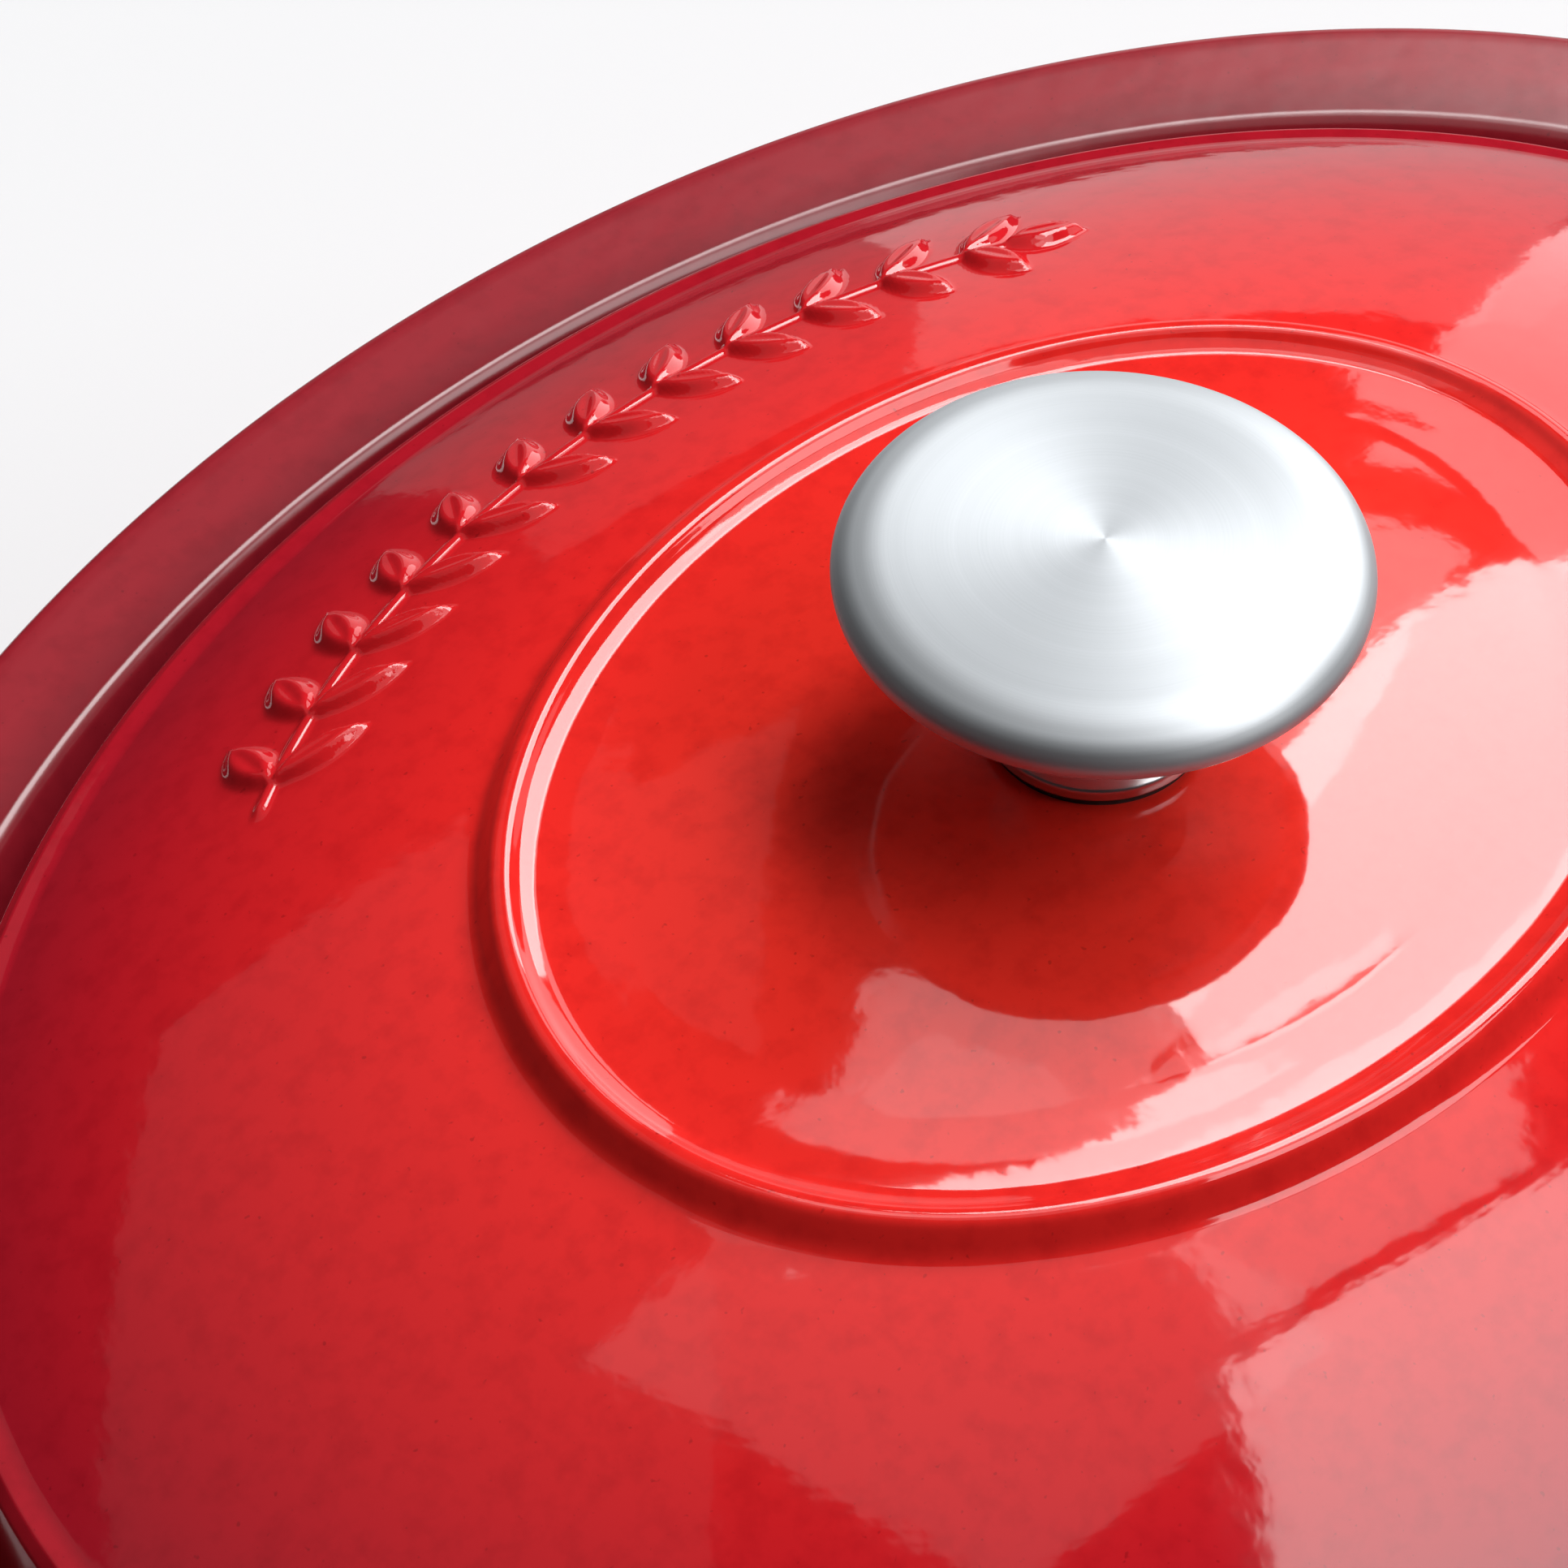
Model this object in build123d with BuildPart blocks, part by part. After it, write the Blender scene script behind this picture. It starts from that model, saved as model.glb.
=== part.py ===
from build123d import *
import math
import os

# Oval enamelled cast iron dutch oven: a drafted pot with two integral loop handles, and a domed
# lid with a raised ring and a steel knob screwed on from below. Millimetres, +Z up, the long
# axis along X, and the origin at the centre of the base.

# ---- Driving dimensions ----
LID_HALF_LENGTH = 145.0
LID_HALF_WIDTH = 107.2
POT_HEIGHT = 108.0
LID_RIM_THICKNESS = 6.0

# Pot
LID_OVERHANG = 1.0
RIM_BAND = 0.8
RIM_BAND_HEIGHT = 9.0
RIM_ROUND = 1.5
WALL = 4.4
WALL_TAPER = 12.0
FLOOR = 4.8
BASE_CORNER = 18.0
CAVITY_CORNER = 14.0
ENAMEL = 0.4
ENAMEL_SEAT = 0.05

# Loop handles, one at each end of the pot
HANDLE_ROOT = 120.0
HANDLE_REACH = 183.0
HANDLE_HALF_WIDTH = 54.0
HANDLE_SPLAY = 5.0
HANDLE_CORNER = 28.0
HANDLE_BAR = 15.0
HANDLE_ARM = 18.0
HANDLE_THICKNESS = 12.0
HANDLE_TOP = POT_HEIGHT - 5.0
HANDLE_ROUND = 5.0

# Lid: heights are above the flat top of its rim
LID_PLANE = POT_HEIGHT + LID_RIM_THICKNESS
RIM_EDGE_ROUND = 2.5
RIM_FLAT = 7.5
SLOPE_BEND = 0.62
SLOPE_BEND_DEPTH = 3.7
GROOVE_DEPTH = 4.4
GROOVE_FOOT = 2.6
GROOVE_WALL_LEAN = 0.8
GROOVE_FILLET = 0.4
SHOULDER_HALF_LENGTH = 119.3
SHOULDER_HALF_WIDTH = 89.3
SHOULDER_TOP = 5.6
SHOULDER_ROUND = 1.5
SHOULDER_CREST = 0.9
RING_HALF_LENGTH = 59.9
RING_HALF_WIDTH = 45.6
RING_TOP = 27.1
RING_ROUND = 2.2
RING_FOOT = 5.0
RING_FOOT_TOP = 23.5
RING_FOOT_FILLET = 1.4
RING_VALLEY = 4.2
RING_VALLEY_TOP = 26.0
DOME_EDGE = 2.6
DOME_EDGE_TOP = SHOULDER_TOP + 0.1
DOME_SWELL = 0.45
PLATEAU_INSET = 5.6
PLATEAU_EDGE = 25.8
PLATEAU_TOP = 29.6
SEAT_RADIUS = 12.5
LID_WALL = 4.0
DOME_WALL = 4.6
SKIRT_DEPTH = 4.5
SKIRT_CLEARANCE = 1.0
SKIRT_WALL = 4.0
THROAT_LEAN = 0.6
THROAT_FILLET = 2.4
BEAD_UNDERSIDE = 2.5
BEAD_UNDERSIDE_RISE = 1.1
BOSS_RADIUS = 12.0
BOSS_DROP = 1.5
SCREW_HOLE_RADIUS = 3.5

# Knob: heights are above the lid's knob seat
GASKET_THICKNESS = 1.0
GASKET_RADIUS = 10.0
KNOB_RADIUS = 24.2
KNOB_TOP = 24.1
KNOB_FACE_RADIUS = 18.6
KNOB_FACE_DROP = 0.6
KNOB_SIDE_TOP = 21.9
KNOB_SEAM = 19.0
KNOB_SIDE_BULGE = 0.3
KNOB_SHEET = 1.0
KNOB_CORNER_INSET = 2.0
KNOB_CORNER_RISE = 1.0
STEM_TOP = 15.0
STEM_NECK = 7.5
STEM_FOOT = 10.5
STEM_COLLAR = 9.5
STEM_FOOT_HEIGHT = 1.2
STEM_NECK_HEIGHT = 6.0
STEM_FLARE = 4.0
STEM_FLARE_RADIUS = 7.9
THREAD_RUNOUT = 2.0
UNDERPAN_EDGE = 21.5
UNDERPAN_RISE = 2.2
UNDERPAN_BULGE = 0.4

# M6 fastening, from below
SCREW_RADIUS = 3.0
THREAD_BORE_RADIUS = 3.05
SCREW_HEAD_RADIUS = 6.0
SCREW_HEAD_HEIGHT = 4.2
SCREW_HEAD_ROUND = 1.8
SCREW_POINT_CHAMFER = 0.6
SCREW_ENGAGEMENT = 9.0
RECESS_LENGTH = 6.4
RECESS_WIDTH = 1.3
RECESS_DEPTH = 2.4
FLAT_WASHER_RADIUS = 9.0
SPRING_WASHER_RADIUS = 5.5
WASHER_THICKNESS = 1.6
WASHER_BORE_RADIUS = 3.2
WASHER_CHAMFER = 0.3
SPRING_WASHER_GAP = 1.0

os.makedirs("parts", exist_ok=True)


def rib(half_length, half_width, height):
    """One level oval, a rib of a lofted skin."""
    with BuildSketch(Plane.XY.offset(height)) as section:
        Ellipse(half_length, half_width)
    return section.sketch


def ribs(oval, stations, base=0.0):
    """Ribs outside an oval (half length, half width) by each station's offset."""
    return [rib(oval[0] + offset, oval[1] + offset, base + height) for offset, height in stations]


def rounding(offset, height, radius, start, end, steps=5):
    """Stations round an arc in the wall's section: 0 degrees is outward and 90 is up."""
    turn = (end - start) / steps
    angles = [math.radians(start + turn * step) for step in range(steps + 1)]
    return [(offset + radius * math.cos(a), height + radius * math.sin(a)) for a in angles]


def save(builder, name):
    """Label a finished piece and write it."""
    builder.part.label = name
    export_step(builder.part, f"parts/{name}.step")


# ---- Pot: one casting with its two loop handles ----
pot_rim = (LID_HALF_LENGTH - LID_OVERHANG, LID_HALF_WIDTH - LID_OVERHANG)


def wall_offset(height):
    """The outer wall's place against the rim's oval: drafted, with a slight belly."""
    return -RIM_BAND - WALL_TAPER * (1 - height / POT_HEIGHT) ** 1.5


def wall_stations(first, last, inward, steps=6):
    """Stations up the wall between two heights, a distance inside its outer face."""
    heights = [first + (last - first) * step / steps for step in range(steps + 1)]
    return [(wall_offset(height) - inward, height) for height in heights]


def cavity_ribs(coat):
    """The pot's inside under a coat of enamel, from the rounded floor corner to the rim."""
    floor = FLOOR + coat
    corner = CAVITY_CORNER - coat
    middle = floor + corner
    inward = WALL + coat
    at_corner = wall_offset(middle) - inward - corner
    stations = rounding(at_corner, middle, corner, -90, 0)[:-1]
    return ribs(pot_rim, stations + wall_stations(middle, POT_HEIGHT, inward))


def pot_skin_ribs():
    """The pot's outside: base corner, drafted wall and the thicker band round the rim."""
    band_foot = POT_HEIGHT - RIM_BAND_HEIGHT
    at_corner = wall_offset(BASE_CORNER) - BASE_CORNER
    stations = rounding(at_corner, BASE_CORNER, BASE_CORNER, -90, 0)[:-1]
    stations += wall_stations(BASE_CORNER, band_foot - 2 * RIM_BAND, 0)
    stations += [(0, band_foot)]
    stations += rounding(-RIM_ROUND, POT_HEIGHT - RIM_ROUND, RIM_ROUND, 0, 90, 3)
    return ribs(pot_rim, stations)


with BuildPart() as loop_handle:
    with BuildSketch(Plane.XY.offset(HANDLE_TOP - HANDLE_THICKNESS)) as loop_outline:
        with BuildLine():
            Polyline(
                (HANDLE_ROOT, -HANDLE_HALF_WIDTH - HANDLE_SPLAY),
                (HANDLE_REACH, -HANDLE_HALF_WIDTH + HANDLE_SPLAY),
                (HANDLE_REACH, HANDLE_HALF_WIDTH - HANDLE_SPLAY),
                (HANDLE_ROOT, HANDLE_HALF_WIDTH + HANDLE_SPLAY),
                close=True,
            )
        make_face()
        fillet(loop_outline.vertices().group_by(Axis.X)[-1], HANDLE_CORNER)
        with BuildSketch(mode=Mode.SUBTRACT) as finger_gap:
            with BuildLine():
                Polyline(
                    (HANDLE_ROOT, -HANDLE_HALF_WIDTH - HANDLE_SPLAY + HANDLE_ARM),
                    (HANDLE_REACH - HANDLE_BAR, -HANDLE_HALF_WIDTH + HANDLE_SPLAY + HANDLE_ARM),
                    (HANDLE_REACH - HANDLE_BAR, HANDLE_HALF_WIDTH - HANDLE_SPLAY - HANDLE_ARM),
                    (HANDLE_ROOT, HANDLE_HALF_WIDTH + HANDLE_SPLAY - HANDLE_ARM),
                    close=True,
                )
            make_face()
            fillet(finger_gap.vertices().group_by(Axis.X)[-1], HANDLE_CORNER - HANDLE_BAR)
    extrude(amount=HANDLE_THICKNESS)
    flat_faces = loop_handle.faces().filter_by(Axis.Z)
    fillet(flat_faces.edges(), HANDLE_ROUND)

with BuildPart() as pot_body:
    loft(pot_skin_ribs(), ruled=True)
    add(loop_handle.part)
    add(loop_handle.part.mirror(Plane.YZ))
    loft(cavity_ribs(0), ruled=True, mode=Mode.SUBTRACT)
save(pot_body, "pot_body")

with BuildPart() as pot_enamel_lining:
    loft(cavity_ribs(ENAMEL_SEAT), ruled=True)
    loft(cavity_ribs(ENAMEL_SEAT + ENAMEL), ruled=True, mode=Mode.SUBTRACT)
save(pot_enamel_lining, "pot_enamel_lining")

# ---- Lid: one casting ----
lid_rim = (LID_HALF_LENGTH, LID_HALF_WIDTH)
shoulder = (SHOULDER_HALF_LENGTH, SHOULDER_HALF_WIDTH)
ring = (RING_HALF_LENGTH, RING_HALF_WIDTH)


def blend(first, second, share):
    """The oval part of the way from one oval to another."""
    return tuple(a + (b - a) * share for a, b in zip(first, second))


def grown(oval, offset):
    """An oval moved outward all round."""
    return tuple(half + offset for half in oval)


dome_edge = grown(shoulder, -DOME_EDGE)
ring_foot = grown(ring, RING_FOOT)
plateau_edge = grown(ring, -PLATEAU_INSET)
knob_seat = (SEAT_RADIUS, SEAT_RADIUS)


def dome_ribs(thickness, steps=8):
    """The dome from its shoulder up to the ring, steepest at the shoulder."""
    skin = []
    for step in range(steps + 1):
        share = step / steps
        rise = (1 + DOME_SWELL) * share - DOME_SWELL * share**2
        height = DOME_EDGE_TOP + (RING_FOOT_TOP - DOME_EDGE_TOP) * rise - thickness
        oval = blend(dome_edge, ring_foot, share)
        skin.append(rib(*oval, LID_PLANE + height))
    return skin


def plateau_ribs(thickness, steps=5):
    """The low crown inside the ring, up to the round seat of the knob."""
    skin = []
    for step in range(steps + 1):
        share = step / steps
        height = PLATEAU_EDGE + (PLATEAU_TOP - PLATEAU_EDGE) * (1 - (1 - share) ** 2) - thickness
        oval = blend(plateau_edge, knob_seat, share)
        skin.append(rib(*oval, LID_PLANE + height))
    return skin


def rim_ribs():
    """The rim's rounded edge and flat top, and the slope down into the groove round the dome."""
    edge = rounding(-RIM_ROUND, RIM_ROUND - LID_RIM_THICKNESS, RIM_ROUND, -90, 0, 3)
    edge += rounding(-RIM_EDGE_ROUND, -RIM_EDGE_ROUND, RIM_EDGE_ROUND, 0, 90)
    edge += [(-RIM_FLAT, 0)]
    flat_edge = grown(lid_rim, -RIM_FLAT)
    bend = rib(*blend(flat_edge, groove_foot, SLOPE_BEND), LID_PLANE - SLOPE_BEND_DEPTH)
    return ribs(lid_rim, edge, LID_PLANE) + [bend]


def bead_ribs():
    """The bead that stands out of the groove and runs round the foot of the dome."""
    wall = [
        (GROOVE_FOOT, -GROOVE_DEPTH),
        (GROOVE_FOOT - GROOVE_WALL_LEAN, GROOVE_FILLET - GROOVE_DEPTH),
    ]
    crest = rounding(-SHOULDER_CREST, SHOULDER_TOP - SHOULDER_ROUND, SHOULDER_ROUND, 10, 90)
    return ribs(shoulder, wall + crest, LID_PLANE)


def ring_ribs():
    """The raised ring between the dome and the crown."""
    centre = RING_TOP - RING_ROUND
    foot = [(RING_FOOT - RING_FOOT_FILLET, RING_FOOT_TOP + 0.5), (RING_ROUND, centre)]
    crest = rounding(0, centre, RING_ROUND, 25, 110)
    return ribs(ring, foot + crest + [(-RING_VALLEY, RING_VALLEY_TOP)], LID_PLANE)


def hollow_ribs(coat):
    """The lid's inside under a coat of enamel, from the skirt's mouth up to the crown."""
    mouth = -SKIRT_CLEARANCE - SKIRT_WALL - coat
    under_groove = -GROOVE_DEPTH - LID_WALL - coat
    skirt = [
        (mouth, -LID_RIM_THICKNESS - SKIRT_DEPTH),
        (mouth - THROAT_LEAN, under_groove - THROAT_LEAN),
        (mouth - THROAT_FILLET, under_groove - 0.2),
    ]
    under_bead = [
        (GROOVE_FOOT - GROOVE_WALL_LEAN, under_groove),
        (-BEAD_UNDERSIDE - coat, under_groove + BEAD_UNDERSIDE_RISE),
        (-2 * BEAD_UNDERSIDE - coat, under_groove + SHOULDER_TOP),
    ]
    skin = ribs(cavity_mouth, skirt, LID_PLANE) + ribs(shoulder, under_bead, LID_PLANE)
    return skin + dome_ribs(DOME_WALL + coat)[1:] + plateau_ribs(LID_WALL + coat)[1:]


groove_foot = grown(shoulder, GROOVE_FOOT)
cavity_mouth = grown(pot_rim, wall_offset(POT_HEIGHT) - WALL - ENAMEL_SEAT - ENAMEL)
crown_inside = LID_PLANE + PLATEAU_TOP - LID_WALL
knob_seat_height = LID_PLANE + PLATEAU_TOP
boss_face = crown_inside - BOSS_DROP

with BuildPart() as lid_body:
    loft(rim_ribs() + bead_ribs() + dome_ribs(0) + ring_ribs() + plateau_ribs(0)[1:], ruled=True)
    with BuildSketch(Plane.XY.offset(POT_HEIGHT)):
        Ellipse(*grown(cavity_mouth, -SKIRT_CLEARANCE))
    extrude(amount=-SKIRT_DEPTH)
    loft(hollow_ribs(0), ruled=True, mode=Mode.SUBTRACT)
    with BuildSketch(Plane.XY.offset(boss_face)):
        Circle(BOSS_RADIUS)
    extrude(amount=BOSS_DROP + LID_WALL / 2)
    with Locations((0, 0, knob_seat_height)):
        Hole(SCREW_HOLE_RADIUS, depth=LID_WALL + 2 * BOSS_DROP)
save(lid_body, "lid_body")

with BuildPart() as lid_enamel_lining:
    loft(hollow_ribs(ENAMEL_SEAT), ruled=True)
    loft(hollow_ribs(ENAMEL_SEAT + ENAMEL), ruled=True, mode=Mode.SUBTRACT)
    with Locations((0, 0, crown_inside)):
        Hole(BOSS_RADIUS + 2 * ENAMEL, depth=2 * BOSS_DROP)
save(lid_enamel_lining, "lid_enamel_lining")

# ---- Knob: spun steel cap and underpan on a turned stem ----
def turned(level):
    """The section plane of a turned piece whose heights are above a level."""
    return Plane.XZ.shift_origin((0, 0, level))


knob_section = turned(knob_seat_height)

with BuildPart() as knob_gasket:
    with BuildSketch(Plane.XY.offset(knob_seat_height)):
        Circle(GASKET_RADIUS)
        Circle(SCREW_HOLE_RADIUS, mode=Mode.SUBTRACT)
    extrude(amount=GASKET_THICKNESS)
save(knob_gasket, "knob_gasket")

with BuildPart() as knob_stem:
    with BuildSketch(knob_section):
        with BuildLine():
            Polyline((0, STEM_TOP), (0, GASKET_THICKNESS), (STEM_FOOT, GASKET_THICKNESS))
            foot = Line(
                (STEM_FOOT, GASKET_THICKNESS), (STEM_FOOT, GASKET_THICKNESS + STEM_FOOT_HEIGHT)
            )
            Spline(
                foot @ 1,
                (STEM_NECK, GASKET_THICKNESS + STEM_NECK_HEIGHT),
                (STEM_FLARE_RADIUS, STEM_TOP - STEM_FLARE),
                (STEM_COLLAR, STEM_TOP),
            )
            Line((STEM_COLLAR, STEM_TOP), (0, STEM_TOP))
        make_face()
    revolve(axis=Axis.Z)
    with BuildSketch(Plane.XY.offset(knob_seat_height + GASKET_THICKNESS)):
        Circle(THREAD_BORE_RADIUS)
    extrude(amount=SCREW_ENGAGEMENT + THREAD_RUNOUT, mode=Mode.SUBTRACT)
save(knob_stem, "knob_stem")

with BuildPart() as knob_underpan:
    with BuildSketch(knob_section):
        with BuildLine():
            rim_inside = KNOB_RADIUS - KNOB_SIDE_BULGE - KNOB_SHEET
            Polyline((0, STEM_TOP), (STEM_COLLAR, STEM_TOP), (UNDERPAN_EDGE, STEM_TOP + UNDERPAN_RISE))
            outer_edge = SagittaArc(
                (UNDERPAN_EDGE, STEM_TOP + UNDERPAN_RISE),
                (rim_inside + KNOB_SHEET, KNOB_SEAM),
                -UNDERPAN_BULGE,
            )
            Line(outer_edge @ 1, (rim_inside, KNOB_SEAM))
            inner_edge = SagittaArc(
                (rim_inside, KNOB_SEAM),
                (UNDERPAN_EDGE - KNOB_SHEET / 2, STEM_TOP + UNDERPAN_RISE + KNOB_SHEET),
                UNDERPAN_BULGE / 2,
            )
            Polyline(
                inner_edge @ 1,
                (STEM_COLLAR, STEM_TOP + KNOB_SHEET),
                (0, STEM_TOP + KNOB_SHEET),
                (0, STEM_TOP),
            )
        make_face()
    revolve(axis=Axis.Z)
save(knob_underpan, "knob_underpan")

crown_radius = (KNOB_FACE_RADIUS**2 + KNOB_FACE_DROP**2) / (2 * KNOB_FACE_DROP)


def cap_skin(inward):
    """Half the knob cap's section, a distance inside its face, from the seam to the axis."""
    side = KNOB_RADIUS - inward
    face = KNOB_TOP - inward
    seam = (side - KNOB_SIDE_BULGE, KNOB_SEAM)
    side_end = (side - KNOB_SIDE_BULGE, KNOB_SIDE_TOP - inward / 2)
    bend = (side - KNOB_CORNER_INSET, KNOB_SIDE_TOP + KNOB_CORNER_RISE - 0.9 * inward)
    face_edge = (KNOB_FACE_RADIUS, face - KNOB_FACE_DROP)
    with BuildLine() as half:
        ThreePointArc(seam, (side, (KNOB_SEAM + KNOB_SIDE_TOP) / 2), side_end)
        ThreePointArc(side_end, bend, face_edge)
        RadiusArc(face_edge, (0, face), -crown_radius)
    return half.line


with BuildPart() as knob_cap:
    with BuildSketch(knob_section):
        with BuildLine():
            add(cap_skin(0))
            add(cap_skin(KNOB_SHEET))
            seam_radius = KNOB_RADIUS - KNOB_SIDE_BULGE
            Line((0, KNOB_TOP), (0, KNOB_TOP - KNOB_SHEET))
            Line((seam_radius, KNOB_SEAM), (seam_radius - KNOB_SHEET, KNOB_SEAM))
        make_face()
    revolve(axis=Axis.Z)
save(knob_cap, "knob_cap")

# ---- Fastening under the lid ----
spring_washer_top = boss_face - WASHER_THICKNESS
head_top = spring_washer_top - WASHER_THICKNESS

with BuildPart() as flat_washer:
    with BuildSketch(Plane.XY.offset(boss_face)):
        Circle(FLAT_WASHER_RADIUS)
        Circle(WASHER_BORE_RADIUS, mode=Mode.SUBTRACT)
    extrude(amount=-WASHER_THICKNESS)
    chamfer(flat_washer.faces().sort_by(Axis.Z)[0].outer_wire().edges(), WASHER_CHAMFER)
save(flat_washer, "flat_washer")

with BuildPart() as spring_washer:
    with BuildSketch(Plane.XY.offset(spring_washer_top)):
        Circle(SPRING_WASHER_RADIUS)
        Circle(WASHER_BORE_RADIUS, mode=Mode.SUBTRACT)
        with Locations((SPRING_WASHER_RADIUS - 1, 0)):
            Rectangle(4.0, SPRING_WASHER_GAP, mode=Mode.SUBTRACT)
    extrude(amount=-WASHER_THICKNESS)
save(spring_washer, "spring_washer")

with BuildPart() as knob_screw:
    with BuildSketch(Plane.XY.offset(head_top)):
        Circle(SCREW_HEAD_RADIUS)
    extrude(amount=-SCREW_HEAD_HEIGHT)
    fillet(knob_screw.edges().sort_by(Axis.Z)[0], SCREW_HEAD_ROUND)
    with BuildSketch(Plane.XY.offset(head_top - SCREW_HEAD_HEIGHT)):
        Rectangle(RECESS_LENGTH, RECESS_WIDTH)
        Rectangle(RECESS_WIDTH, RECESS_LENGTH)
    extrude(amount=RECESS_DEPTH, mode=Mode.SUBTRACT)
    with BuildSketch(Plane.XY.offset(head_top)):
        Circle(SCREW_RADIUS)
    extrude(amount=knob_seat_height + GASKET_THICKNESS + SCREW_ENGAGEMENT - head_top)
    chamfer(knob_screw.edges().sort_by(Axis.Z)[-1], SCREW_POINT_CHAMFER)
save(knob_screw, "knob_screw")
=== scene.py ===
import math

import bpy
import numpy as np
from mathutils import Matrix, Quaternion, Vector


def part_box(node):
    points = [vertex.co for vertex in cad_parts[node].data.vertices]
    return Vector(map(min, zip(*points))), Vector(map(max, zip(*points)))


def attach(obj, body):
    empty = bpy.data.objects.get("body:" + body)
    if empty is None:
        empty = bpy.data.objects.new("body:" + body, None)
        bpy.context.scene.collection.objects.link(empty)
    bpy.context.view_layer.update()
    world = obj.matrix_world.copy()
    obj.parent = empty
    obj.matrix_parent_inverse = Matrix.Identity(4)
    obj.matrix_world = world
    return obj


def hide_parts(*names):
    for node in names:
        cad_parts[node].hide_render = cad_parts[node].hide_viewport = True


# Oval enamelled dutch oven. Its lengths are in millimetres here and become metres in the meshes.
# The stage and the lights are in metres.
# Heights on the lid are above the flat top of its rim, and heights on the knob above its seat.

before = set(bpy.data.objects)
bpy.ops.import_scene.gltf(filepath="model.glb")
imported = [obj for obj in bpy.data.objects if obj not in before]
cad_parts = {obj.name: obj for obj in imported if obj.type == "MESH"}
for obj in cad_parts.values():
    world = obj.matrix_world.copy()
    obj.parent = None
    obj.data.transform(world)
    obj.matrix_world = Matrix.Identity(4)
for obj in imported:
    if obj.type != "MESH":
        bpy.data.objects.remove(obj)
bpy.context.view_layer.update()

MM = 0.001
pot_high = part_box("pot_body")[1] / MM
lid_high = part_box("lid_body")[1] / MM

# ---- Sizes shared with the frame ----
POT_HEIGHT = pot_high.z
HANDLE_REACH = pot_high.x
SEAT = lid_high.z
LID_RIM_THICKNESS = 6.0
LID_PLANE = POT_HEIGHT + LID_RIM_THICKNESS
RIM = (lid_high.x, lid_high.y)
POT_RIM = (RIM[0] - 1.0, RIM[1] - 1.0)

# ---- Lid ----
RIM_FLAT = 7.5
GROOVE = -4.4
GROOVE_FOOT = 2.6
SHOULDER = (119.3, 89.3)
SHOULDER_TOP = 5.6
RING = (59.9, 45.6)
RING_TOP = 27.1
RING_FOOT_TOP = 23.5
PLATEAU_EDGE = 25.8
PLATEAU_TOP = SEAT - LID_PLANE
DOME_SWELL = 0.45
DOME_EDGE = 2.6
DOME_EDGE_LIFT = 0.1
DOME_EDGE_ROUND = 1.2
DOME_EXTRA_WALL = 0.6
GROOVE_BEND = 0.62
GROOVE_BEND_HEIGHT = -4.3
RING_FOOT = 5.0
PLATEAU_INSET = 5.6
SEAT_RADIUS = 12.5
SCREW_HOLE = 3.5
LID_WALL = 4.0
SKIRT_DEPTH = 4.5
SKIRT_OUTSIDE = -7.7
ENAMEL = 0.4
LINING_GAP = 0.05
LINING_COLUMNS = 288
BOSS_RADIUS = 12.0
BOSS_DROP = 1.5
HOLE_DEPTH = 3.0
TOP_LEVEL = 3.0
EDGE_ROWS = 20

# ---- Pot ----
WALL = 4.4
WALL_TAPER = 12.0
RIM_BAND = 0.8
RIM_BAND_HEIGHT = 9.0
FLOOR = 4.8
BASE_CORNER = 18.0
CAVITY_CORNER = 14.0
POT_COLUMNS = 480


# ---- Mesh tools ----
def make_object(name, points, faces, body, slot, *nodes):
    """A smooth mesh piece that rides on a body and stands for CAD nodes."""
    mesh = bpy.data.meshes.new(name)
    mesh.from_pydata((np.asarray(points) * MM).tolist(), [], faces)
    mesh.validate()
    mesh.polygons.foreach_set("use_smooth", [True] * len(mesh.polygons))
    piece = bpy.data.objects.new(name, mesh)
    bpy.context.collection.objects.link(piece)
    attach(piece, body)
    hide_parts(*nodes)
    return piece


def soften(stations, steps=6):
    """Stations (length, width, height, rounding) as a path whose corners are quadratic bends."""
    corners = [np.array(station[:3], float) for station in stations]
    path = [corners[0]]
    for before, here, after, station in zip(corners, corners[1:], corners[2:], stations[1:]):
        reach_in = min(station[3], 0.49 * np.linalg.norm(here - before))
        reach_out = min(station[3], 0.49 * np.linalg.norm(after - here))
        if reach_in <= 0 or reach_out <= 0:
            path.append(here)
            continue
        start = here + (before - here) / np.linalg.norm(before - here) * reach_in
        end = here + (after - here) / np.linalg.norm(after - here) * reach_out
        for step in range(steps + 1):
            share = step / steps
            path.append(start * (1 - share) ** 2 + 2 * here * share * (1 - share) + end * share**2)
    return path + [corners[-1]]


def densify(path, spacing):
    """The same path with no step longer than a spacing."""
    dense = [path[0]]
    for before, after in zip(path, path[1:]):
        count = max(1, math.ceil(np.linalg.norm(after - before) / spacing))
        dense += [before + (after - before) * (k + 1) / count for k in range(count)]
    return dense


def off(oval, offset, height, rounding=0.0):
    """A station outside an oval by an offset."""
    return (oval[0] + offset, oval[1] + offset, height, rounding)


def loop_faces(rings, columns, closed):
    """Quads between wrapped rings of points, and from the last ring to the first if closed."""
    faces = []
    pairs = [(k, k + 1) for k in range(rings - 1)] + ([(rings - 1, 0)] if closed else [])
    for low, high in pairs:
        a, b = low * columns, high * columns
        for c in range(columns):
            beside = (c + 1) % columns
            faces.append((a + c, a + beside, b + beside, b + c))
    return faces


def oval_points(path, angles):
    """The points of a skin: one ring of eccentric angles for each (length, width, height)."""
    stations = np.array(path)
    x = stations[:, 0:1] * np.cos(angles)
    y = stations[:, 1:2] * np.sin(angles)
    z = np.repeat(stations[:, 2:3], len(angles), axis=1)
    return np.stack([x, y, z], axis=2)


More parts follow.
